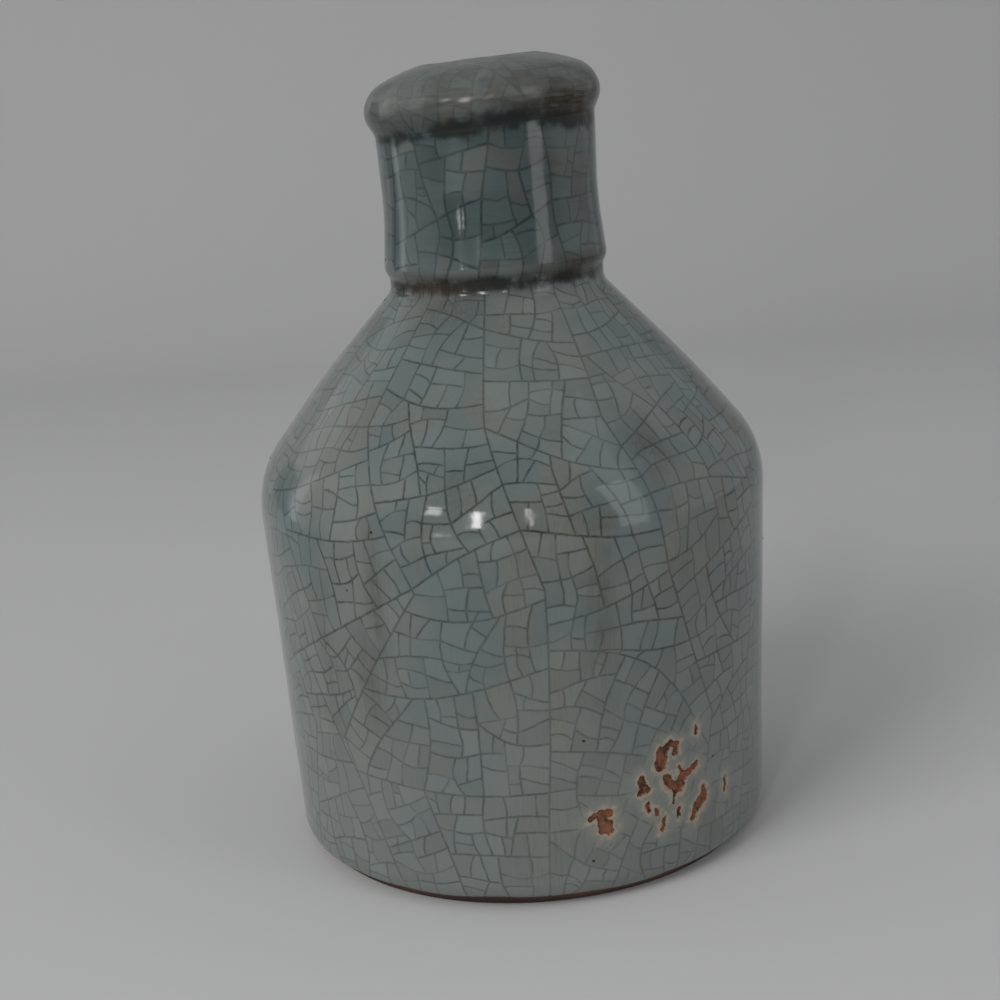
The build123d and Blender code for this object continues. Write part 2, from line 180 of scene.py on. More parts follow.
# Outer glaze, its form: a thick glossy coat dipped over the whole outside, from a ragged line above
# the foot, over the groove, neck and lip, and a little way down into the mouth. It is laid on the
# clay's outline, softens its groove, cove and crest, and leans with the neck and the lip.
MM = 0.001
GLAZE = 0.8 * MM
GLAZE_LINE = 2.4 * MM
FOOT_CONTACT = (66 * MM, 0.0)
FOOT_BEVEL = (70.59 * MM, 5 * MM)
SHOULDER = (74.65 * MM, 113.3 * MM)
SLOPE_MIDDLE = (53.58 * MM, 139.62 * MM)
THROAT = (30.4 * MM, 164.1 * MM)
NECK_SEAM = 167.31 * MM
LIP_SEAM = 208.01 * MM
NECK_LEAN = math.radians(0.7)
LIP_LEAN = math.radians(2.4)
LEAN_BLEND = 1.5 * MM
MOUTH_DEPTH = 5 * MM
COAT_CORNERS = [
    (FOOT_CONTACT, 0.0),
    (FOOT_BEVEL, 9 * MM),
    (SHOULDER, 29 * MM),
    (SLOPE_MIDDLE, 250 * MM),
    (THROAT, 5.6 * MM),
    ((30.5 * MM, NECK_SEAM + 1.4 * MM), 2.6 * MM),
    ((31.8 * MM, NECK_SEAM + 3.7 * MM), 4 * MM),
    ((30.4 * MM, NECK_SEAM + 20 * MM), 120 * MM),
    ((30.95 * MM, LIP_SEAM - 3.5 * MM), 30 * MM),
    ((31.05 * MM, LIP_SEAM + 2.2 * MM), 4.6 * MM),
    ((33.9 * MM, LIP_SEAM + 8 * MM), 6.5 * MM),
    ((31.2 * MM, LIP_SEAM + 14.4 * MM), 9 * MM),
    ((23 * MM, LIP_SEAM + 17.8 * MM), 52 * MM),
    ((12 * MM, LIP_SEAM + 20.4 * MM), 4.4 * MM),
    ((11.5 * MM, LIP_SEAM + 11.5 * MM), 0.0),
]
OUTLINE_STEP = 0.05 * MM


def rounded_outline(corners, step):
    """Points along a line of corners, each eased by an arc of its own radius, one step apart."""
    line = [np.array(corners[0][0])]
    for (before, _), (corner, radius), (after, _) in zip(corners, corners[1:], corners[2:]):
        corner = np.array(corner)
        into = (corner - before) / np.linalg.norm(corner - before)
        out = (after - corner) / np.linalg.norm(after - corner)
        turn = math.acos(float(np.clip(into @ out, -1, 1)))
        side = 1.0 if into[0] * out[1] - into[1] * out[0] > 0 else -1.0
        start = corner - into * radius * math.tan(turn / 2)
        centre = start + side * radius * np.array((-into[1], into[0]))
        for angle in np.linspace(0, side * turn, max(3, math.ceil(radius * turn / step))):
            arm = start - centre
            swung = (arm[0] * math.cos(angle) - arm[1] * math.sin(angle),
                     arm[0] * math.sin(angle) + arm[1] * math.cos(angle))
            line.append(centre + np.array(swung))
    line.append(np.array(corners[-1][0]))
    line = np.array(line)
    along = np.concatenate(([0], np.cumsum(np.hypot(*np.diff(line, axis=0).T))))
    even = np.arange(0, along[-1], step)
    return np.interp(even, along, line[:, 0]), np.interp(even, along, line[:, 1])


clay_r, clay_h = rounded_outline(COAT_CORNERS, OUTLINE_STEP)
mouth_r, mouth_h = COAT_CORNERS[-2][0]
kept = (clay_h >= GLAZE_LINE) & ~((clay_r < mouth_r) & (clay_h < mouth_h - MOUTH_DEPTH))
clay_r, clay_h = clay_r[kept], clay_h[kept]
run_table = np.arange(len(clay_r)) * OUTLINE_STEP
RUN_END = float(run_table[-1])
slope_r, slope_h = np.gradient(clay_r, OUTLINE_STEP), np.gradient(clay_h, OUTLINE_STEP)
out_r, out_h = slope_h, -slope_r
bend_table = np.abs(np.gradient(np.unwrap(np.arctan2(slope_h, slope_r)), OUTLINE_STEP))


def eased(value):
    """A step from 0 to 1 with soft ends."""
    held = np.clip(value, 0, 1)
    return held * held * (3 - 2 * held)


def lean_at(height):
    """How far the pot's axis leans towards -X at a height, eased through the two seams."""
    neck = eased((height - NECK_SEAM + LEAN_BLEND) / (2 * LEAN_BLEND))
    lip = eased((height - LIP_SEAM + LEAN_BLEND) / (2 * LEAN_BLEND))
    return NECK_LEAN * neck + LIP_LEAN * lip


AXIS_TOP = 240 * MM
axis_h = np.arange(0, AXIS_TOP, OUTLINE_STEP)
axis_x = -np.cumsum(np.sin(lean_at(axis_h))) * OUTLINE_STEP
axis_z = np.cumsum(np.cos(lean_at(axis_h))) * OUTLINE_STEP

# Swells of the poured coat: waves round the pot and up it, all of them taken off the full thickness.
SWELL = 0.045 * MM
SWELL_SEED = 7
swell_maker = random.Random(SWELL_SEED)
SWELLS = [(turns, swell_maker.uniform(40, 150), swell_maker.uniform(0, 6.28)) for turns in (2, 3, 4, 5, 7)]
EDGE_ROLL = 1 * MM
LINE_WANDER = 0.45 * MM
LINE_REACH = 9 * MM
LINE_FRONT_RISE = 1.3 * MM
LINE_SIDE_RISE = 2.6 * MM


def run_on_clay(turn, run):
    """The glaze line wanders up and down round the foot, lowest at the front, and the coat follows it."""
    front = np.maximum(-np.sin(turn), 0) ** 2
    rise = LINE_SIDE_RISE + (LINE_FRONT_RISE - LINE_SIDE_RISE) * front
    wander = np.sin(3 * turn + 0.6) + 0.6 * np.sin(8 * turn + 2.1) + 0.5 * np.sin(17 * turn)
    return run + (rise + LINE_WANDER * wander) * (1 - eased(run / LINE_REACH))


def coat_depth(turn, run):
    """Thickness of the coat: rolled to nothing over the foot, thin where it ends in the mouth."""
    first = np.clip(run / EDGE_ROLL, 0, 1)
    last = np.clip((RUN_END - run) / EDGE_ROLL, 0, 1)
    rolled = np.sqrt(1 - (1 - first) ** 2) * (0.35 + 0.65 * np.sqrt(1 - (1 - last) ** 2))
    swell = sum(np.sin(count * turn + rate * run + start) - 1 for count, rate, start in SWELLS)
    return GLAZE * rolled + SWELL * swell * eased(run / LINE_REACH)


# Breaks in the coat on the lower right of the front, where it has flaked off down to the clay: each a
# few short strokes (from, to, half width, all in mm) about a place given by azimuth and height.
FLAKES = [
    (-59, 39.4, [(-2.3, -2.4, -1.7, 1.2, 1.95), (-1.7, 1.3, 1.2, 3, 1.25), (1.2, 3, 3.4, 2.3, 1),
                 (3.2, 2, 2.6, -0.1, 0.95)]),
    (-55.1, 31.3, [(-5.4, 1.3, -4.2, -0.7, 1.35), (-4.2, -0.7, -1.5, -2.7, 1.25),
                   (-1.5, -2.7, -0.2, -0.8, 1.85), (-0.2, -0.8, 0.3, 0.7, 1.25), (0.3, 0.7, 2.5, 0.9, 1.15),
                   (2.5, 0.9, 5.4, 2.4, 1), (0.3, 0.7, -0.7, 3.3, 0.55), (-1.5, -2.7, -2.2, -4.2, 0.5)]),
    (-65.2, 31.7, [(-0.6, 2.6, -0.5, 0.4, 1.15), (-0.5, 0.4, 1.2, -1, 0.9), (-0.5, 0.4, -1, -1.6, 1)]),
    (-50, 21.3, [(1.9, 4.2, 1.8, 1.5, 0.95), (1.8, 1.5, -0.7, -0.4, 1.75), (-0.7, -0.4, -2.5, -3.6, 0.9)]),
    (-75.5, 24.2, [(-3, 1.5, -1.7, 2.4, 0.85), (-0.2, 2.4, 2.3, 2.5, 1.3), (0.2, 1.2, 0.6, -2.4, 1.45),
                   (2.1, -0.6, 2.2, -2.7, 1.25)]),
    (-64.3, 25.4, [(0, 1.2, 0.2, -1, 0.6)]),
    (-62.1, 23.4, [(0, 0.5, 0.1, -0.5, 0.8)]),
    (-57.4, 25.6, [(0, 1.1, -0.1, -1, 0.42)]),
    (-56.1, 21.1, [(0.1, 1.2, -0.2, -1, 0.7)]),
    (-60.3, 19.1, [(0.3, 1.6, -0.4, -1.5, 0.65)]),
    (-40.6, 23.1, [(0, 2, 0.1, -1.9, 0.6)]),
    (-50.6, 43.9, [(0, 1.1, 0, -1.1, 0.5)]),
]
FLAKE_DEPTH = 0.55 * MM
FLAKE_EDGE = 0.35 * MM
FLAKE_FAR = 30 * MM
FLAKE_TOP = 60 * MM


def near_turn(turn, other=0.0):
    """The same direction, counted within half a turn of another."""
    return other + (turn - other + math.pi) % (2 * math.pi) - math.pi


def flake_distance(turn, run):
    """Distance along the surface to the nearest break, below zero inside it."""
    nearest = np.full(np.shape(turn), FLAKE_FAR)
    if np.min(run) > FLAKE_TOP:
        return nearest
    height = np.interp(run, run_table, clay_h)
    girth = np.interp(run, run_table, clay_r) + GLAZE
    for azimuth, level, strokes in FLAKES:
        across, up = near_turn(turn - math.radians(azimuth)) * girth, height - level * MM
        for x0, y0, x1, y1, half in np.array(strokes) * MM:
            share = ((across - x0) * (x1 - x0) + (up - y0) * (y1 - y0)) / ((x1 - x0) ** 2 + (y1 - y0) ** 2)
            share = np.clip(share, 0, 1)
            gap = np.hypot(across - x0 - share * (x1 - x0), up - y0 - share * (y1 - y0)) - half
            nearest = np.minimum(nearest, gap)
    around = turn * girth
    ragged = 0.26 * np.sin(around * 2300 + 1) * np.sin(height * 1900 + around * 700)
    ragged += 0.12 * np.sin(around * 5200) * np.sin(height * 4700 + around * 1300)
    return nearest + ragged * MM * eased((6 * MM - nearest) / (4 * MM))


def on_glaze(turn, run):
    """The glaze's outer face: a turn about the axis and a run up the outline give a point."""
    clay_run = np.clip(run_on_clay(turn, run), 0, RUN_END)
    base_r, base_h = np.interp(clay_run, run_table, clay_r), np.interp(clay_run, run_table, clay_h)
    depth = coat_depth(turn, run) - FLAKE_DEPTH * eased(-flake_distance(turn, run) / FLAKE_EDGE)
    radius = base_r + depth * np.interp(clay_run, run_table, out_r)
    height = base_h + depth * np.interp(clay_run, run_table, out_h)
    lean = lean_at(base_h)
    x = np.interp(height, axis_h, axis_x) + radius * np.cos(turn) * np.cos(lean)
    z = np.interp(height, axis_h, axis_z) + radius * np.cos(turn) * np.sin(lean)
    return np.stack((x, radius * np.sin(turn), z), -1)


# Outer glaze, its crackle: the coat shrank more than the clay as it cooled and tore into small cells.
# Long cracks opened first; each later crack runs across a cell from wall to wall, meets the older
# cracks squarely, and stops there. Cells are larger on the neck than on the body.
BODY_CELL = 33 * MM ** 2
NECK_CELL = 42 * MM ** 2
LIP_CELL = 30 * MM ** 2
LARGE_CELL = 400 * MM ** 2
LEAST_CELL = 3 * MM ** 2
SNAP = 1.2 * MM
CRACK_HALF_WIDTH = 0.48 * MM
NECK_CRACKS = 1.25
CRACK_QUIVER = 0.06 * MM
CRACK_BOW = 0.065
SWERVE_LARGE = 0.25
SWERVE_SMALL = 0.14
OFF_MIDDLE = 0.16
FIRST_DARK = 0.75
GOAL_SPREAD = 0.24
SPLIT_OVER = 1.4
SLENDER = 2.5
TRIES = 3
COARSE = 2.4 * MM
FINE_ERROR = 0.015 * MM
FLAKE_MESH = 0.36 * MM
COVE_ABOVE_SEAM = 2 * MM
CRACKLE_SEED = 21
climb = clay_h[:np.argmax(clay_h)]


def run_up_to(height):
    """How far along the outline a height on the outside is reached."""
    return np.interp(height, climb, run_table[:len(climb)])


GROOVE_RUN = float(run_up_to(NECK_SEAM))
COVE_RUN = float(run_up_to(LIP_SEAM + COVE_ABOVE_SEAM))
crackle_maker = random.Random(CRACKLE_SEED)
fine_table = np.minimum(COARSE, np.sqrt(8 * FINE_ERROR / np.maximum(bend_table, 1.0)))
reach_steps = int(0.7 * MM / OUTLINE_STEP)
fine_table = np.min([np.roll(fine_table, shift) for shift in range(-reach_steps, reach_steps + 1)], axis=0)

spots = []     # each point of the crack net: turn, run and how dark the crack is there
rings = {}     # each cell's points, anticlockwise seen from outside
beside = {}    # the cell on the left of each directed edge


def girth_at(run):
    return np.interp(run, run_table, clay_r + GLAZE * out_r)


def mesh_size(turn, run):
    """How far apart mesh points may be: close on small curves and about the breaks."""
    near_flake = FLAKE_MESH + 0.4 * np.maximum(flake_distance(turn, run) - 0.4 * MM, 0)
    return np.minimum(np.interp(run, run_table, fine_table), near_flake)


def new_spot(turn, run, strength):
    spots.append((float(turn), float(run), float(strength)))
    return len(spots) - 1


def keep_ring(ring):
    cell = len(rings)
    rings[cell] = ring
    for first, second in zip(ring, ring[1:] + ring[:1]):
        beside[first, second] = cell
    return cell


def flat(ring):
    """A cell laid flat: across and up from its middle, in metres."""
    turn = np.unwrap([spots[i][0] for i in ring])
    run = np.array([spots[i][1] for i in ring])
    middle = (turn.mean(), run.mean())
    return (turn - middle[0]) * girth_at(run), run - middle[1], middle


def lie_back(across, up, middle):
    """From a flat cell back to turn and run."""
    run = middle[1] + up
    return middle[0] + across / girth_at(run), run


def spread(x, y):
    """A flat cell's area, its centre, the way that it is longest and how much longer."""
    nx, ny = np.roll(x, -1), np.roll(y, -1)
    cross = x * ny - nx * y
    area = cross.sum() / 2
    cx, cy = ((x + nx) * cross).sum() / (6 * area), ((y + ny) * cross).sum() / (6 * area)
    ax, ay, bx, by = x - cx, y - cy, nx - cx, ny - cy
    cross = ax * by - bx * ay
    xx = (cross * (ax * ax + ax * bx + bx * bx)).sum()
    yy = (cross * (ay * ay + ay * by + by * by)).sum()
    xy = (cross * (2 * ax * ay + ax * by + bx * ay + 2 * bx * by)).sum() / 2
    longest = 0.5 * math.atan2(2 * xy, xx - yy)
    root = math.hypot(xx - yy, 2 * xy)
    return area, cx, cy, longest, math.sqrt((xx + yy + root) / max(xx + yy - root, 1e-24))


def land(first, second, share):
    """The point where a crack meets an edge: an end that is close by, or a new point in it."""
    turn_a, run_a, dark_a = spots[first]
    turn_b, run_b, dark_b = spots[second]
    turn_b = near_turn(turn_b, turn_a)
    length = math.hypot((turn_b - turn_a) * girth_at(run_a), run_b - run_a)
    if share * length < SNAP:
        return first
    if (1 - share) * length < SNAP:
        return second
    turn, run = turn_a + share * (turn_b - turn_a), run_a + share * (run_b - run_a)
    middle = new_spot(turn, run, max(dark_a, dark_b))
    for start, end in ((first, second), (second, first)):
        cell = beside.pop((start, end), None)
        if cell is not None:
            rings[cell].insert(rings[cell].index(start) + 1, middle)
            beside[start, middle] = cell
            beside[middle, end] = cell
    return middle


def gap_to_outline(px, py, x, y):
    """Distance from points to a closed outline, and whether each lies inside it."""
    nx, ny = np.roll(x, -1), np.roll(y, -1)
    dx, dy = px[:, None] - x, py[:, None] - y
    ex, ey = nx - x, ny - y
    share = np.clip((dx * ex + dy * ey) / np.maximum(ex * ex + ey * ey, 1e-18), 0, 1)
    gap = np.hypot(dx - share * ex, dy - share * ey).min(axis=1)
    crosses = ((y > py[:, None]) != (ny > py[:, None])) & (dx < ex * dy / np.where(ey == 0, 1e-18, ey))
    return gap, crosses.sum(axis=1) % 2 == 1


def crack_path(start, end, start_way, end_way):
    """New points of a bowed, slightly unsteady crack, which leaves both walls nearly squarely."""
    length = np.linalg.norm(end - start)
    chord = (end - start) / length
    leave, arrive = length * (0.25 * start_way + 0.8 * chord), length * (0.8 * chord - 0.25 * end_way)
    bow = np.array((-chord[1], chord[0])) * length * crackle_maker.gauss(0, CRACK_BOW)
    count = max(2, math.ceil(length / (0.75 * COARSE)))
    for t in np.linspace(0, 1, count + 1)[1:-1]:
        quiver = np.array((crackle_maker.gauss(0, CRACK_QUIVER), crackle_maker.gauss(0, CRACK_QUIVER)))
        yield (start * (2 * t ** 3 - 3 * t * t + 1) + leave * (t ** 3 - 2 * t * t + t)
               + end * (3 * t * t - 2 * t ** 3) + arrive * (t ** 3 - t * t)
               + bow * math.sin(math.pi * t) + quiver)


def crack_across(cell, area, cx, cy, longest, stretch, x, y, middle):
    """Cracks one cell in two across its length; says which two cells, or nothing if it won't go."""
    edge_x, edge_y = np.roll(x, -1) - x, np.roll(y, -1) - y
    wall_way = np.arctan2(edge_y, edge_x)
    grain = math.atan2((np.hypot(edge_x, edge_y) * np.sin(4 * wall_way)).sum(),
                       (np.hypot(edge_x, edge_y) * np.cos(4 * wall_way)).sum()) / 4
    across_it = longest + math.pi / 2
    way = grain + round((across_it - grain) / (math.pi / 2)) * math.pi / 2
    way += crackle_maker.gauss(0, SWERVE_LARGE if area > LARGE_CELL else SWERVE_SMALL)
    shift = crackle_maker.uniform(-OFF_MIDDLE, OFF_MIDDLE) * math.sqrt(area * stretch)
    cx, cy = cx + shift * math.cos(longest), cy + shift * math.sin(longest)
    along = (x - cx) * math.cos(way) + (y - cy) * math.sin(way)
    aside = (y - cy) * math.cos(way) - (x - cx) * math.sin(way)
    next_along, next_aside = np.roll(along, -1), np.roll(aside, -1)
    hits = np.nonzero((aside < 0) != (next_aside < 0))[0]
    share = aside[hits] / (aside[hits] - next_aside[hits])
    reach = along[hits] + share * (next_along[hits] - along[hits])
    if not (reach > 0).any() or not (reach < 0).any():
        return None
    ring = rings[cell]
    ends = []
    for pick in (np.where(reach > 0, reach, np.inf).argmin(), np.where(reach < 0, reach, -np.inf).argmax()):
        i = int(hits[pick])
        j = (i + 1) % len(ring)
        edge = np.array((x[j] - x[i], y[j] - y[i]))
        inward = np.array((-edge[1], edge[0])) / max(np.linalg.norm(edge), 1e-12)
        point = np.array((x[i], y[i])) + share[pick] * edge
        ends.append((ring[i], ring[j], float(share[pick]), point, inward))
    corners = {number: np.array(point) for number, *point in zip(ring, x, y)}
    start, end = land(*ends[0][:3]), land(*ends[1][:3])
    if start == end:
        return None
    from_point, to_point = corners.get(start, ends[0][3]), corners.get(end, ends[1][3])
    ring = rings[cell]
    at = ring.index(start)
    ring = ring[at:] + ring[:at]
    at = ring.index(end)
    if at < 2 or len(ring) - at < 2:
        return None
    dark = crackle_maker.uniform(0.7, 1.0) if area > LARGE_CELL else crackle_maker.uniform(0.35, 0.95)
    line = np.array(list(crack_path(from_point, to_point, ends[0][4], ends[1][4])))
    if not gap_to_outline(line[:, 0], line[:, 1], x, y)[1].all():
        line = np.linspace(from_point, to_point, len(line) + 2)[1:-1]
    path = [new_spot(*lie_back(px, py, middle), dark) for px, py in line]
    rings[cell] = ring[:at + 1] + path[::-1]
    for first, second in zip(rings[cell], rings[cell][1:] + rings[cell][:1]):
        beside[first, second] = cell
    return cell, keep_ring(ring[at:] + ring[:1] + path)


def level_ring(run, marks, dark):
    """A ring of points round the pot at one height, with a point at each mark."""
    turns = sorted(marks)
    circle = []
    for first, second in zip(turns, turns[1:] + [turns[0] + 2 * math.pi]):
        size = float(mesh_size(np.array(first), np.array(run)))
        count = max(1, math.ceil((second - first) * float(girth_at(run)) / max(size, 1.2 * MM)))
        circle += [new_spot(first + (second - first) * i / count, run, dark) for i in range(count)]
    return circle


# First cracks up the pot: their places round it at even steps from foot to head. The body's third is the
# long one seen on its front, which wanders from the foot over the belly to the groove.
BODY_FIRST = [
    (-154, -146, -164, -152, -160), (-121, -134, -112, -130, -126), (-87.8, -86, -85.5, -95.5, -97),
    (-52, -44, -58, -66, -60), (-18, -30, -22, -34, -28), (12, 22, 10, 24, 20), (47, 36, 50, 36, 40),
    (80, 94, 84, 92, 88), (110, 118, 102, 112, 104), (142, 134, 152, 146, 150), (171, 182, 168, 180, 176),
]
NECK_FIRST = [(-100, -88), (-52, -62), (-4, 4), (45, 36), (92, 100), (141, 150), (-154, -146)]
LIP_FIRST = [(-112, -104), (-70, -76), (-24, -16), (20, 28), (66, 58), (110, 118), (156, 150), (-158, -152)]
LEVELS = [0.0, GROOVE_RUN, COVE_RUN, RUN_END]
LEVEL_DARK = [0.0, 0.5, 0.5, 0.0]
bands = [np.radians(first) for first in (BODY_FIRST, NECK_FIRST, LIP_FIRST)]
circles = []
for number, run in enumerate(LEVELS):
    marks = [] if number == 0 else list(bands[number - 1][:, -1])
    marks += [] if number == len(bands) else list(bands[number][:, 0])
    circles.append(level_ring(run, marks, LEVEL_DARK[number]))


def nearest_on(circle, turn):
    away = [abs(near_turn(spots[i][0] - turn)) for i in circle]
    return int(np.argmin(away))


for number, firsts in enumerate(bands):
    low, high = circles[number], circles[number + 1]
    climbs = []
    for way_up in firsts[np.argsort(firsts[:, 0])]:
        start, end = nearest_on(low, way_up[0]), nearest_on(high, way_up[-1])
        rise = LEVELS[number + 1] - LEVELS[number]
        count = math.ceil(rise / COARSE)
        bow, phase = crackle_maker.uniform(0.01, 0.03), crackle_maker.uniform(0, 6.28)
        path = []
        for i in range(1, count):
            share = i / count
            sway = bow * math.sin(phase + 7 * share) * math.sin(math.pi * share)
            turn = np.interp(share, np.linspace(0, 1, len(way_up)), way_up) + sway
            path.append(new_spot(turn, LEVELS[number] + rise * share, FIRST_DARK))
        climbs.append((start, end, path))
    for (start, end, path), (next_start, next_end, next_path) in zip(climbs, climbs[1:] + climbs[:1]):
        foot_edge = low[start:next_start + 1] if start < next_start else low[start:] + low[:next_start + 1]
        head_edge = high[end:next_end + 1] if end < next_end else high[end:] + high[:next_end + 1]
        keep_ring(foot_edge + next_path + head_edge[::-1] + path[::-1])


def cell_goal(run):
    """The area that cells settle at, by where they are, a little different each time."""
    goal = BODY_CELL if run < GROOVE_RUN else NECK_CELL if run < COVE_RUN else LIP_CELL
    return goal * math.exp(crackle_maker.gauss(0, GOAL_SPREAD))


waiting = list(rings)
while waiting:
    cell = waiting.pop()
    x, y, middle = flat(rings[cell])
    area, cx, cy, longest, stretch = spread(x, y)
    if area < SPLIT_OVER * cell_goal(middle[1]) and not (stretch > SLENDER and area > 4 * LEAST_CELL):
        continue
    for _ in range(TRIES):
        halves = crack_across(cell, area, cx, cy, longest, stretch, x, y, middle)
        if halves:
            waiting += halves
            break
        x, y, middle = flat(rings[cell])
        area, cx, cy, longest, stretch = spread(x, y)

# Every edge of the net is divided finely enough for the curve that it lies on, with the same points
# for the cells on both its sides.
edges = sorted({(min(pair), max(pair)) for pair in beside})
from_end = np.array(spots)[[pair[0] for pair in edges]]
to_end = np.array(spots)[[pair[1] for pair in edges]]
to_end[:, 0] = near_turn(to_end[:, 0], from_end[:, 0])
halfway = (from_end + to_end) / 2
lengths = np.hypot((to_end - from_end)[:, 0] * girth_at(halfway[:, 1]), (to_end - from_end)[:, 1])
counts = np.ceil(lengths / (1.15 * mesh_size(halfway[:, 0], halfway[:, 1]))).astype(int)
divided = {}
for pair, start, end, count in zip(edges, from_end, to_end, counts):
    divided[pair] = [new_spot(*(start + (end - start) * i / count)) for i in range(1, count)]

net = []
for ring in rings.values():
    full = []
    for first, second in zip(ring, ring[1:] + ring[:1]):
        between = divided[first, second] if first < second else divided[second, first][::-1]
        full += [first] + between
    net.append(full)

# Each cell's face: a narrow strip along its cracks, and inside that a web of triangles. The strip
# carries the crack's darkness out to nothing, and each cell has a tone of its own.
glaze_turn = [spot[0] for spot in spots]
glaze_run = [spot[1] for spot in spots]
crack_clear = [0.0] * len(spots)
crack_dark = [spot[2] for spot in spots]
cell_tone = [0.0] * len(spots)
cell_warm = [0.0] * len(spots)
faces = []


def inset(x, y, widths):
    """A flat cell's outline drawn in by a width at each point; points crowded out at a corner share one."""
    ex, ey = np.roll(x, -1) - x, np.roll(y, -1) - y
    length = np.maximum(np.hypot(ex, ey), 1e-9)
    nx, ny = -ey / length, ex / length
    px, py = np.roll(nx, 1), np.roll(ny, 1)
    corner = np.maximum(1 + nx * px + ny * py, 0.1)
    inner_x, inner_y = x + widths * (nx + px) / corner, y + widths * (ny + py) / corner
    gap, inside = gap_to_outline(inner_x, inner_y, x, y)
    sound = np.nonzero(inside & (gap > 0.85 * widths))[0]
    if len(sound) == 0:
        return inset(x, y, widths / 2)
    apart = np.abs(sound[None, :] - np.arange(len(x))[:, None])
    nearest = sound[np.minimum(apart, len(x) - apart).argmin(axis=1)]
    return inner_x[nearest], inner_y[nearest]


def inner_points(x, y, middle):
    """Points inside a flat cell, on a staggered grid that opens out where the surface is plain."""
    turn, run = lie_back(x, y, middle)
    least = float(mesh_size(turn, run).min())
    columns = np.arange(math.floor(x.min() / least), math.ceil(x.max() / least) + 1)
    rows = np.arange(math.floor(y.min() / least), math.ceil(y.max() / least) + 1)
    column, row = (grid.ravel() for grid in np.meshgrid(columns, rows))
    px, py = (column + 0.5 * (row % 2)) * least, row * least * 0.9
    gap, inside = gap_to_outline(px, py, x, y)
    size = mesh_size(*lie_back(px, py, middle))
    stride = 2 ** np.floor(np.log2(np.maximum(size / least, 1))).astype(int)
    wanted = inside & (gap > 0.45 * size) & (column % stride == 0) & (row % stride == 0)
    return px[wanted], py[wanted]


def cell_web(x, y, middle, widths):
    """Triangles that fill a flat cell inside its crack strip, which narrows where it would cross itself."""
    for share in (1.0, 0.7, 0.45, 0.25, 0.1):
        inner_x, inner_y = inset(x, y, share * widths)
        more_x, more_y = inner_points(inner_x, inner_y, middle)
        all_x, all_y = np.concatenate((inner_x, more_x)) / MM, np.concatenate((inner_y, more_y)) / MM
        loose = [Vector(point) for point in zip(all_x, all_y)]
        points, _, triangles, sources, _, _ = delaunay_2d_cdt(loose, [], [list(range(len(x)))], 1, 1e-6)
        seat = {source: number for number, group in enumerate(sources) for source in group}
        outline = [seat[i] for i in range(len(x))]
        rim = {pair for pair in zip(outline, outline[1:] + outline[:1]) if pair[0] != pair[1]}
        sides = {pair for corners in triangles for pair in zip(corners, corners[1:] + corners[:1])}
        rim_edge = {pair for pair in rim if pair[::-1] not in rim}
        web_edge = {pair for pair in sides if pair[::-1] not in sides}
        next_x, next_y = np.roll(inner_x, -1), np.roll(inner_y, -1)
        strip = (next_x - x) * (inner_y - np.roll(y, -1)) - (next_y - y) * (inner_x - np.roll(x, -1))
        if rim_edge == web_edge and (strip > 0).all():
            break
    return points, triangles, seat


for ring in net:
    x, y, middle = flat(ring)
    area = spread(x, y)[0]
    outline_length = np.hypot(np.roll(x, -1) - x, np.roll(y, -1) - y).sum()
    widths = CRACK_HALF_WIDTH * (NECK_CRACKS if middle[1] > GROOVE_RUN else 1.0)
    widths = widths * (0.70 + 0.5 * np.array([spots[i][2] for i in ring]))
    points, triangles, seat = cell_web(x, y, middle, np.minimum(widths, 0.7 * area / outline_length))
    first = len(glaze_turn)
    tone, warm = crackle_maker.gauss(0, 1), crackle_maker.gauss(0, 1)
    own_dark = [float(np.mean([spots[i][2] for i in ring]))] * len(points)
    for i, number in seat.items():
        if i < len(ring):
            own_dark[number] = spots[ring[i]][2]
    for point, dark in zip(points, own_dark):
        turn, run = lie_back(point[0] * MM, point[1] * MM, middle)
        glaze_turn.append(float(turn))
        glaze_run.append(float(run))
        crack_clear.append(1.0)
        crack_dark.append(dark)
        cell_tone.append(tone)
        cell_warm.append(warm)
    faces += [[first + corner for corner in corners] for corners in triangles]
    for i in range(len(ring)):
        j = (i + 1) % len(ring)
        inner = [first + seat[j], first + seat[i]] if seat[i] != seat[j] else [first + seat[i]]
        faces.append([ring[i], ring[j]] + inner)
    for i in ring:
        cell_tone[i] += tone / 2.6
        cell_warm[i] += warm / 2.6

CRACK_SINK = 0.03 * MM
NUDGE = 0.05 * MM


def outward_at(turn, run):
    """The way that the glaze's outer face looks, from points a nudge apart on it."""
    step_turn = NUDGE / np.maximum(girth_at(run), 5 * MM)
    high_run, low_run = np.minimum(run + NUDGE, RUN_END), np.maximum(run - NUDGE, 0)
    round_pot = on_glaze(turn + step_turn, run) - on_glaze(turn - step_turn, run)
    up_pot = on_glaze(turn, high_run) - on_glaze(turn, low_run)
    out = np.cross(round_pot, up_pot)
    return out / np.linalg.norm(out, axis=1)[:, None]


glaze_turn, glaze_run = np.array(glaze_turn), np.array(glaze_run)
glaze_normals = outward_at(glaze_turn, glaze_run)
flake_gap = flake_distance(glaze_turn, glaze_run)
sink = CRACK_SINK * (1 - np.array(crack_clear)) * np.array(crack_dark)
glaze_points = on_glaze(glaze_turn, glaze_run) - glaze_normals * sink[:, None]
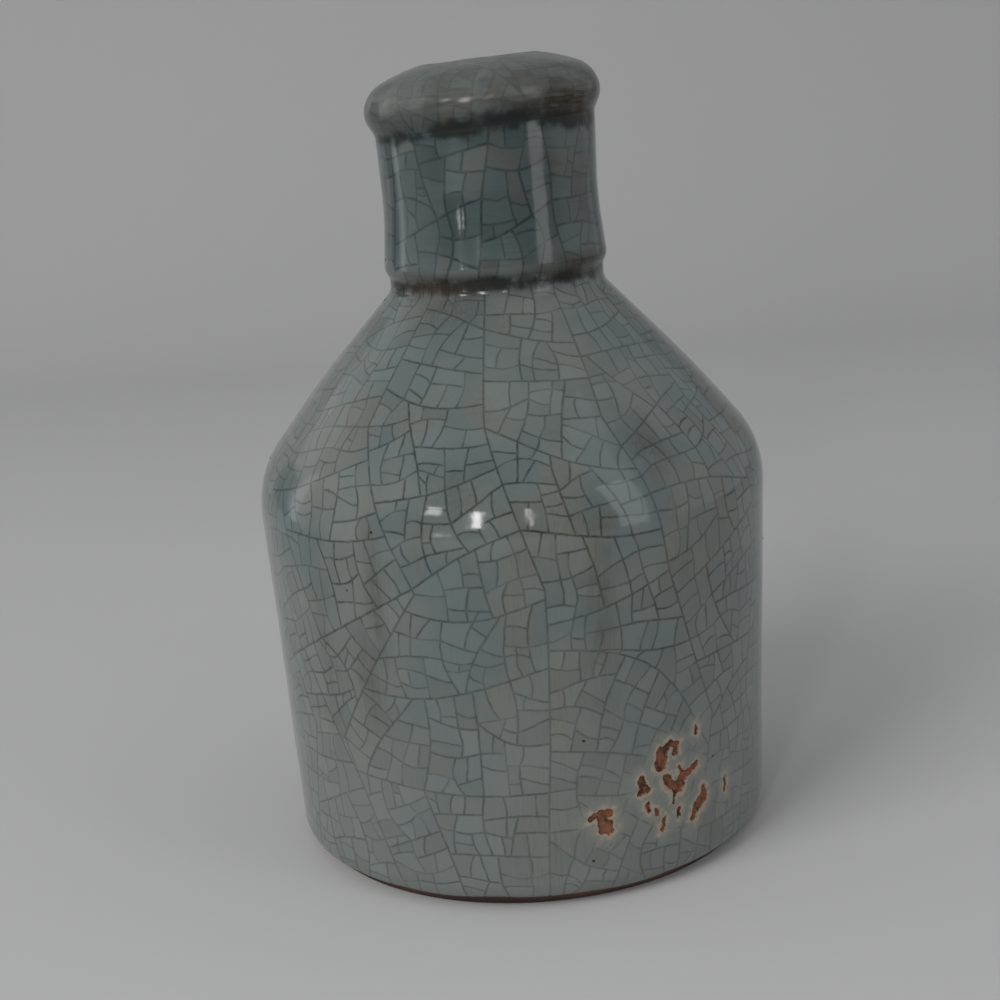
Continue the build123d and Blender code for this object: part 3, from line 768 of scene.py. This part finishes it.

# Brown iron stains that the coat drew out of the clay, thickest where it pooled or pulled thin, together with
# painted shade in the groove under the neck and under the lip's overhang: each a soft patch by azimuth,
# height, half width, half height (mm) and strength.
STAINS_AND_SHADE = [
    (-56, 123.7, 6, 8, 0.5), (-121, 90, 3, 22, 0.46), (-125, 66, 5, 14, 0.38),
    (-40, 213.8, 19, 4.6, 1), (-34, 170, 20, 3.6, 0.9), (-131, 167, 24, 3.6, 1.05),
    (-118, 161, 13, 6, 0.5), (-58, 197, 6, 5, 0.4), (40, 188, 16, 14, 0.4),
    (95, 120, 16, 22, 0.4), (160, 60, 9, 30, 0.32), (130, 168, 34, 3.2, 0.8),
    (20, 50, 8, 26, 0.3), (-155, 212, 22, 4, 0.55), (100, 213, 26, 4.2, 0.6),
    (-100, 118, 9, 7, 0.28), (-73, 84, 4, 24, 0.34), (-137, 70, 4, 24, 0.26),
    (-100, 210.5, 14, 3.5, 0.45), (-30, 192, 12, 12, 0.35),
]
glaze_height = np.interp(glaze_run, run_table, clay_h)
stain = np.zeros(len(glaze_turn))
# Painted shade: the patches at 161 to 170 mm lie in the groove and those at 210 to 214 mm under the lip, and
# darken these recesses as shade.
for azimuth, middle_height, half_wide, half_high, strength in STAINS_AND_SHADE:
    aside = near_turn(glaze_turn - math.radians(azimuth)) * girth_at(glaze_run) / (half_wide * MM)
    above = (glaze_height - middle_height * MM) / (half_high * MM)
    stain = np.maximum(stain, strength * np.exp(-(aside ** 2 + above ** 2)))

# Dark pools where the coat ran together, and painted shade: in the groove under the neck and in the cove
# under the lip, raised at the front to paint the shade under the lip's overhang; each by height, half height,
# strength and how much higher it stands at the front.
POOLS_AND_SHADE = [(NECK_SEAM, 3 * MM, 0.86, 0.0), (LIP_SEAM + 0.6 * MM, 3.6 * MM, 1.0, 2.2 * MM)]
pool = np.zeros(len(glaze_turn))
for middle_height, half_high, strength, front_rise in POOLS_AND_SHADE:
    uneven = 0.85 + 0.15 * np.sin(2 * glaze_turn + 1.9) * np.sin(5 * glaze_turn)
    front = np.maximum(np.cos(glaze_turn + math.radians(82)), 0) ** 4
    stand = glaze_height - middle_height - front_rise * front
    pool = np.maximum(pool, strength * uneven * np.exp(-(stand / half_high) ** 2))

coat_mesh = bpy.data.meshes.new("glaze_coat")
coat_mesh.from_pydata(glaze_points.tolist(), [], faces)
for name, values in (("crack_clear", crack_clear), ("crack_dark", crack_dark), ("cell_tone", cell_tone),
                     ("cell_warm", cell_warm), ("flake_gap", flake_gap / MM), ("stain", stain),
                     ("pool", pool)):
    layer = coat_mesh.attributes.new(name, "FLOAT", "POINT")
    layer.data.foreach_set("value", np.array(values, dtype=np.float32))
coat_mesh.shade_smooth()
coat_mesh.normals_split_custom_set_from_vertices(glaze_normals.tolist())
coat_mesh.update()

# Outer glaze, its finish: grey-green over red clay, bluer where it lies thick and brown-grey where it
# lies thin, darker on the neck, with fine vertical streaks, dark hairlines and rust-red breaks.
CELADON_BLUE = (0.112, 0.145, 0.143, 1)
CELADON_GREY = (0.148, 0.166, 0.156, 1)
CELADON_BROWN = (0.155, 0.145, 0.122, 1)
CELADON_FLOOR_LIT = (0.165, 0.182, 0.174, 1)
NECK_TEAL = (0.044, 0.066, 0.071, 1)
LIP_BROWN = (0.072, 0.069, 0.060, 1)
LIP_GREY = (0.096, 0.102, 0.096, 1)
LIP_PALE = (0.138, 0.146, 0.138, 1)
POOL_SHADE_TEAL = (0.012, 0.022, 0.024, 1)
IRON_STAIN_AND_SHADE = (0.032, 0.021, 0.012, 1)
HAIRLINE = (0.012, 0.018, 0.017, 1)
HAIRLINE_BROWN = (0.020, 0.017, 0.012, 1)
NECK_BROWN = (0.074, 0.070, 0.061, 1)
FLAKE_RUST = (0.185, 0.060, 0.024, 1)
FLAKE_SHADE = (0.052, 0.013, 0.008, 1)
FLAKE_OLIVE = (0.092, 0.050, 0.014, 1)
FLAKE_PALE = (0.225, 0.222, 0.186, 1)
FLAKE_CREAM = (0.370, 0.325, 0.250, 1)
FLAKE_RIM = (0.300, 0.150, 0.095, 1)
NECK_FADE = (0.158, 0.180)
LIP_FADE = (0.208, 0.218)


def of_mesh(tree, name):
    return add(tree, "ShaderNodeAttribute", attribute_name=name).outputs["Fac"]


crackle, tree, shader = new_finish("crackle_glaze", 0.12)
place = in_place(tree)
height = add(tree, "ShaderNodeSeparateXYZ", {0: place}).outputs["Z"]
on_neck = span(tree, height, *NECK_FADE)
on_lip = span(tree, height, *LIP_FADE)

# Clouds of blue, grey and brown, paler towards the foot as painted light thrown up from the floor, and darker
# on the neck and lip.
clouds = span(tree, mottle(tree, place, 30, 3), 0.36, 0.62)
colour = tint(tree, clouds, CELADON_BLUE, CELADON_GREY)
brown_clouds = span(tree, mottle(tree, in_place(tree, (1, 1, 0.6)), 45, 4), 0.50, 0.70)
brown_below = span(tree, height, 0.150, 0.095, 0.35, 0.7)
colour = tint(tree, product(tree, brown_clouds, brown_below), colour, CELADON_BROWN)
# Painted light: towards the foot the glaze is paled as if lit from the floor below.
colour = tint(tree, span(tree, height, 0.090, 0.015, 0.0, 0.7), colour, CELADON_FLOOR_LIT)
colour = tint(tree, product(tree, on_neck, 0.85), colour, NECK_TEAL)
lip_colour = tint(tree, span(tree, height, 0.213, 0.225), LIP_BROWN, LIP_GREY)
lip_teal = span(tree, mottle(tree, place, 150, 5, 0.65), 0.48, 0.68, 0.0, 0.75)
lip_colour = tint(tree, lip_teal, lip_colour, NECK_TEAL)
lip_pale = span(tree, mottle(tree, in_place(tree, (1, 1, 1.6)), 62, 4, 0.6), 0.48, 0.66, 0.0, 0.65)
lip_colour = tint(tree, lip_pale, lip_colour, LIP_PALE)
colour = tint(tree, product(tree, on_lip, 0.9), colour, lip_colour)

# Fine brush streaks: upright on the body, round the pot on the neck and lip.
upright_streaks = mottle(tree, in_place(tree, (1, 1, 0.05)), 1700, 3, 0.6)
round_streaks = mottle(tree, in_place(tree, (0.06, 0.06, 1)), 1500, 3, 0.6)
streaks = add(tree, "ShaderNodeMix", {0: on_neck, 2: upright_streaks, 3: round_streaks}).outputs[0]
streaked = product(tree, span(tree, streaks, 0.46, 0.66), worked(tree, "ADD", brown_clouds, 0.35))
streaked = product(tree, streaked, span(tree, on_neck, 0.0, 1.0, 0.13, 0.26))
colour = tint(tree, streaked, colour, IRON_STAIN_AND_SHADE)

# Each cell has its own tone, warmer or colder than its neighbours.
cell_warmth = of_mesh(tree, "cell_warm")
colour = tint(tree, span(tree, cell_warmth, 0.0, 2.2, 0.0, 0.16), colour, CELADON_BROWN)
colour = tint(tree, span(tree, cell_warmth, 0.0, -2.2, 0.0, 0.18), colour, CELADON_BLUE)
neck_warmth = product(tree, span(tree, cell_warmth, 0.1, 2.0, 0.0, 0.36), on_neck)
colour = tint(tree, neck_warmth, colour, NECK_BROWN)
tone_low = span(tree, on_neck, 0.0, 1.0, 0.91, 0.80)
tone_high = span(tree, on_neck, 0.0, 1.0, 1.09, 1.20)
tone = span(tree, of_mesh(tree, "cell_tone"), -2.4, 2.4, tone_low, tone_high)
grey = add(tree, "ShaderNodeCombineColor", {0: tone, 1: tone, 2: tone}).outputs[0]
colour = tint(tree, 1.0, colour, grey, "MULTIPLY")

# Stains, dark pools, hairlines, and the breaks with their cream rims; the stains and pools also carry painted
# shade in the groove and under the lip.
patchy = span(tree, mottle(tree, place, 170, 4), 0.25, 0.75, -0.28, 0.28)
pooled_and_shaded = span(tree, worked(tree, "ADD", of_mesh(tree, "pool"), patchy), 0.28, 0.95)
# Painted shade: the groove and the cove under the lip go dark teal here.
colour = tint(tree, pooled_and_shaded, colour, POOL_SHADE_TEAL)
# Painted shade as well as stains: the groove and the underside of the lip are darkened here.
stained_and_shaded = product(tree, of_mesh(tree, "stain"), span(tree, streaks, 0.30, 0.62, 0.6, 1.1))
stained_and_shaded = product(tree, stained_and_shaded, worked(tree, "ADD", patchy, 0.95))
colour = tint(tree, stained_and_shaded, colour, IRON_STAIN_AND_SHADE)
flake = of_mesh(tree, "flake_gap")
on_crack = span(tree, of_mesh(tree, "crack_clear"), 0.0, 1.0, 1.0, 0.0)
inked = span(tree, of_mesh(tree, "crack_dark"), 0.0, 1.0, 0.35, 0.88)
faded = span(tree, mottle(tree, place, 22, 2), 0.35, 0.65, 1.0, 0.68)
beaded = span(tree, mottle(tree, place, 420, 3), 0.30, 0.70, 0.66, 1.08)
off_flake = span(tree, flake, 0.4, 3.6)
paler_lip = span(tree, on_lip, 0.0, 1.0, 1.0, 0.45)
paler_foot = span(tree, height, 0.015, 0.085, 0.66, 1.0)
crack_ink = product(tree, on_crack, inked, faded, beaded, off_flake, paler_lip, paler_foot)
hairline = tint(tree, brown_clouds, HAIRLINE, HAIRLINE_BROWN)
colour = tint(tree, crack_ink, colour, hairline)
ragged = worked(tree, "ADD", flake, span(tree, mottle(tree, place, 1500, 2), 0.3, 0.7, -0.16, 0.16))
halo_edge = worked(tree, "ADD", flake, span(tree, mottle(tree, place, 420, 3), 0.3, 0.7, -0.9, 0.9))
colour = tint(tree, span(tree, halo_edge, 4.6, 0.6, 0.0, 0.75), colour, FLAKE_PALE)
colour = tint(tree, span(tree, halo_edge, 1.5, -0.2, 0.0, 0.85), colour, FLAKE_CREAM)
colour = tint(tree, span(tree, halo_edge, 0.5, -0.3, 0.0, 0.6), colour, FLAKE_RIM)
rust = tint(tree, span(tree, mottle(tree, place, 330, 3), 0.46, 0.58), FLAKE_RUST, FLAKE_SHADE)
olive = span(tree, mottle(tree, in_place(tree, (1.3, 1.3, 1.0)), 260, 2), 0.52, 0.62, 0.0, 0.85)
rust = tint(tree, olive, rust, FLAKE_OLIVE)
rust = tint(tree, span(tree, mottle(tree, place, 1500, 2), 0.58, 0.70, 0.0, 0.6), rust, FLAKE_RIM)
in_flake = span(tree, ragged, 0.14, -0.14)
colour = tint(tree, in_flake, colour, rust)
tree.links.new(colour, shader.inputs["Base Color"])
gloss = span(tree, mottle(tree, place, 90, 2), 0.3, 0.7, 0.08, 0.15)
gloss = worked(tree, "ADD", gloss, product(tree, on_lip, 0.10))
gloss = worked(tree, "ADD", gloss, product(tree, in_flake, 0.6))
tree.links.new(gloss, shader.inputs["Roughness"])
dulled = worked(tree, "MAXIMUM", pooled_and_shaded, product(tree, stained_and_shaded, on_neck))
tree.links.new(span(tree, dulled, 0.0, 1.0, 0.5, 0.14), shader.inputs["Specular IOR Level"])
relief(tree, shader, mottle(tree, place, 150, 2), 0.00007)


def set_out(name, data):
    """A new object in the scene, at the origin."""
    thing = bpy.data.objects.new(name, data)
    bpy.context.scene.collection.objects.link(thing)
    return thing


glaze_coat = set_out("glaze_coat", coat_mesh)
coat_mesh.materials.append(crackle)
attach(glaze_coat, "root")
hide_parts("outer_glaze")


# Iron specks: grains of iron in the clay that melted up through the coat as it fired, and now show as
# small dark dots flush with its surface. Five are the ones seen on the front; the rest are strewn behind.
SEEN_SPECKS = [(-120.6, 108.4), (-128.3, 91.5), (-78.6, 49.0), (-45.1, 33.7), (-77.7, 13.2)]
STREWN_SPECKS = 24
STREWN_FROM = math.radians(-25)
STREWN_TO = math.radians(205)
SPECK_RADIUS = 0.38 * MM
SPECK_FLATNESS = 0.35
SPECK_BLACK = (0.014, 0.013, 0.011, 1)
STREWN_LOW = 8 * MM
STREWN_HIGH = 200 * MM
SPECK_SEED = 4

speck_maker = random.Random(SPECK_SEED)
speck_places = [(math.radians(azimuth), above_foot * MM) for azimuth, above_foot in SEEN_SPECKS]
for _ in range(STREWN_SPECKS):
    strewn_turn = speck_maker.uniform(STREWN_FROM, STREWN_TO)
    speck_places.append((strewn_turn, speck_maker.uniform(STREWN_LOW, STREWN_HIGH)))
speck_turn, speck_height = np.array(speck_places).T
speck_run = run_up_to(speck_height)
speck_points = on_glaze(speck_turn, speck_run)
speck_out = outward_at(speck_turn, speck_run)

speck_black, speck_tree, speck_shader = new_finish("iron_speck", 0.25)
speck_burnt = tint(speck_tree, mottle(speck_tree, in_place(speck_tree), 3000, 2), SPECK_BLACK, IRON_STAIN_AND_SHADE)
speck_tree.links.new(speck_burnt, speck_shader.inputs["Base Color"])
seed_mesh = bpy.data.meshes.new("iron_specks_places")
seed_mesh.from_pydata(speck_points.tolist(), [], [])
speck_facing = seed_mesh.attributes.new("facing", "FLOAT_VECTOR", "POINT")
speck_facing.data.foreach_set("vector", speck_out.astype(np.float32).ravel())

strew = bpy.data.node_groups.new("strew_specks", "GeometryNodeTree")
strew_inputs = {}
for name, kind in (("Places", "Geometry"), ("Speck radius", "Float"), ("Flatness", "Float"), ("Seed", "Int")):
    strew_inputs[name] = strew.interface.new_socket(name, in_out="INPUT", socket_type="NodeSocket" + kind)
strew.interface.new_socket("Specks", in_out="OUTPUT", socket_type="NodeSocketGeometry")
given = add(strew, "NodeGroupInput").outputs
speck = add(strew, "GeometryNodeMeshIcoSphere", {"Radius": given["Speck radius"], "Subdivisions": 2})
longer = add(strew, "FunctionNodeRandomValue", {2: 0.6, 3: 1.5, "Seed": given["Seed"]}, data_type="FLOAT")
flatten = add(strew, "ShaderNodeCombineXYZ", {0: longer.outputs[1], 1: 1.0, 2: given["Flatness"]})
outward = add(strew, "GeometryNodeInputNamedAttribute", {"Name": "facing"}, data_type="FLOAT_VECTOR")
turned = add(strew, "FunctionNodeAlignRotationToVector", {"Vector": outward.outputs[0]}, axis="Z")
dots = add(strew, "GeometryNodeMeshToPoints", {"Mesh": given["Places"]})
placed = add(strew, "GeometryNodeInstanceOnPoints", {
    "Points": dots.outputs["Points"], "Instance": speck.outputs["Mesh"],
    "Rotation": turned.outputs["Rotation"], "Scale": flatten.outputs["Vector"]})
real = add(strew, "GeometryNodeRealizeInstances", {0: placed.outputs["Instances"]})
painted = add(strew, "GeometryNodeSetMaterial", {"Geometry": real.outputs[0], "Material": speck_black})
add(strew, "NodeGroupOutput", {0: painted.outputs["Geometry"]})

iron_specks = set_out("iron_specks", seed_mesh)
scatter = iron_specks.modifiers.new("strew", "NODES")
scatter.node_group = strew
for name, size in (("Speck radius", SPECK_RADIUS), ("Flatness", SPECK_FLATNESS), ("Seed", SPECK_SEED)):
    scatter[strew_inputs[name].identifier] = size
strewn = iron_specks.evaluated_get(bpy.context.evaluated_depsgraph_get())
speck_mesh = bpy.data.meshes.new_from_object(strewn)
iron_specks.modifiers.clear()
iron_specks.data = speck_mesh
speck_mesh.name = "iron_specks"
speck_mesh.shade_smooth()
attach(iron_specks, "root")


# Floor and backdrop: one sheet of pale matt paper, which lies under the pot and rises behind it in a
# round sweep, so that no edge of it shows from the front.
FLOOR_HALF = 1.3
FLOOR_FRONT = 2.5
FLOOR_BACK = 0.9
SWEEP_RADIUS = 0.5
WALL_TOP = 2.2
SWEEP_STEPS = 16
FLOOR_GREY = (0.565, 0.560, 0.560, 1)

paper, _, paper_shader = new_finish("backdrop_paper", 0.9)
paper_shader.inputs["Base Color"].default_value = FLOOR_GREY
profile = [(-FLOOR_FRONT, 0.0)]
for step in range(SWEEP_STEPS + 1):
    angle = math.pi / 2 * step / SWEEP_STEPS
    profile.append((FLOOR_BACK + SWEEP_RADIUS * math.sin(angle), SWEEP_RADIUS * (1 - math.cos(angle))))
profile.append((FLOOR_BACK + SWEEP_RADIUS, WALL_TOP))
sheet_points = [(side * FLOOR_HALF, y, z) for y, z in profile for side in (-1, 1)]
sheet_faces = [(2 * i, 2 * i + 1, 2 * i + 3, 2 * i + 2) for i in range(len(profile) - 1)]
sheet_mesh = bpy.data.meshes.new("backdrop")
sheet_mesh.from_pydata(sheet_points, [], sheet_faces)
sheet_mesh.shade_smooth()
sheet_mesh.materials.append(paper)
backdrop = set_out("backdrop", sheet_mesh)


# Light: a pale surround with a plain top, dim behind the camera and bright at the sides, given by bearing
# from the front, with one dark panel in it; a large soft lamp at the left for the colours; and small
# lamps for the glints.
SURROUND = [(-180, 0.70), (-126, 0.70), (-113, 0.60), (-72, 0.60), (-50, 0.20), (-20, 0.10), (38, 0.12),
            (66, 0.32), (80, 0.64), (100, 0.62), (125, 0.44), (180, 0.44)]
SURROUND_TINT = (0.97, 0.99, 1.0)
SURROUND_TOP = (0.36, 0.37, 0.375, 1)
PANEL = (-138, -119)
PANEL_TOP = 0.30
PANEL_DARK = (0.11, 0.12, 0.13, 1)
PANEL_BLUR = 1
PANEL_TOP_BLUR = 0.03
LAMPS = [
    ("soft_lamp", (-1.25, -1.25, 1.3), 1.1, 1.1, 20.0, False),
    ("window_left", (-1.10, -1.45, 0.95), 0.22, 0.30, 1.6, True),
    ("window_middle", (-0.58, -1.93, 0.72), 0.15, 0.60, 5.0, True),
    ("window_right", (0.25, -2.05, 0.76), 0.04, 0.68, 1.0, True),
    ("pane_left", (-1.09, -1.62, 0.195), 0.09, 0.12, 0.26, True),
    ("pane_right", (-0.95, -1.70, 0.190), 0.04, 0.11, 0.10, True),
    ("door_left", (-1.13, 0.41, 0.25), 0.14, 0.90, 0.29, True),
    ("door_right", (0.78, -0.63, 0.41), 0.28, 0.80, 1.0, True),
    ("fanlight", (0.68, -0.43, 1.01), 0.28, 0.50, 0.20, True),
]
AIM = Vector((0, 0, 0.11))

surround = bpy.data.worlds.new("surround")
surround.use_nodes = True
sky = surround.node_tree
toward = add(sky, "ShaderNodeSeparateXYZ", {0: add(sky, "ShaderNodeTexCoord").outputs["Generated"]})
to_front = product(sky, toward.outputs["Y"], -1.0)
bearing = worked(sky, "ARCTAN2", toward.outputs["X"], to_front)
bearing_share = add(sky, "ShaderNodeMapRange", {"Value": bearing, "From Min": -math.pi, "From Max": math.pi})
shades = add(sky, "ShaderNodeValToRGB", {"Fac": bearing_share.outputs["Result"]})
while len(shades.color_ramp.elements) < len(SURROUND):
    shades.color_ramp.elements.new(0.5)
for stop, (degrees, shine) in zip(shades.color_ramp.elements, SURROUND):
    stop.position = (degrees + 180) / 360
    stop.color = (shine * SURROUND_TINT[0], shine * SURROUND_TINT[1], shine * SURROUND_TINT[2], 1)
past_left = span(sky, bearing, *np.radians((PANEL[0] - PANEL_BLUR, PANEL[0] + PANEL_BLUR)))
before_right = span(sky, bearing, *np.radians((PANEL[1] + PANEL_BLUR, PANEL[1] - PANEL_BLUR)))
under_top = span(sky, toward.outputs["Z"], PANEL_TOP + PANEL_TOP_BLUR, PANEL_TOP - PANEL_TOP_BLUR)
on_panel = product(sky, past_left, before_right, under_top)
walls = tint(sky, on_panel, shades.outputs["Color"], PANEL_DARK)
roof = tint(sky, span(sky, toward.outputs["Z"], 0.35, 0.85), walls, SURROUND_TOP)
sky.links.new(roof, sky.nodes["Background"].inputs["Color"])
bpy.context.scene.world = surround
for name, stand_at, wide, tall, watts, glints in LAMPS:
    lamp = bpy.data.lights.new(name, "AREA")
    lamp.shape = "RECTANGLE"
    lamp.size, lamp.size_y, lamp.energy = wide, tall, watts
    holder = set_out(name, lamp)
    holder.location = stand_at
    holder.rotation_euler = (AIM - Vector(stand_at)).to_track_quat("-Z", "Y").to_euler()
    holder.visible_glossy = glints
    holder.visible_camera = False


# Camera: where the photograph was taken from, about half a metre in front of the pot and nearly level with
# its lip, looking down at the body and rolled a little.
CAMERA_BACK = 0.4834
CAMERA_HEIGHT = 0.2178
CAMERA_LENS = 59.4
SENSOR_WIDTH = 36.0
NEAREST_SEEN = 0.01
CAMERA_PITCH = math.radians(-13.79)
CAMERA_YAW = math.radians(-0.452)
CAMERA_ROLL = math.radians(-4.10)

ahead = Vector((math.sin(CAMERA_YAW) * math.cos(CAMERA_PITCH),
                math.cos(CAMERA_YAW) * math.cos(CAMERA_PITCH), math.sin(CAMERA_PITCH)))
level_right = Vector((math.cos(CAMERA_YAW), -math.sin(CAMERA_YAW), 0))
level_up = level_right.cross(ahead)
rolled_right = math.cos(CAMERA_ROLL) * level_right + math.sin(CAMERA_ROLL) * level_up
rolled_up = math.cos(CAMERA_ROLL) * level_up - math.sin(CAMERA_ROLL) * level_right
lens = bpy.data.cameras.new("camera")
lens.lens, lens.sensor_width = CAMERA_LENS, SENSOR_WIDTH
lens.clip_start = NEAREST_SEEN
camera = set_out("camera", lens)
camera_axes = Matrix((rolled_right, rolled_up, -ahead)).transposed().to_4x4()
camera.matrix_world = Matrix.Translation((0, -CAMERA_BACK, CAMERA_HEIGHT)) @ camera_axes
bpy.context.scene.camera = camera
bpy.context.scene.view_settings.view_transform = "Standard"
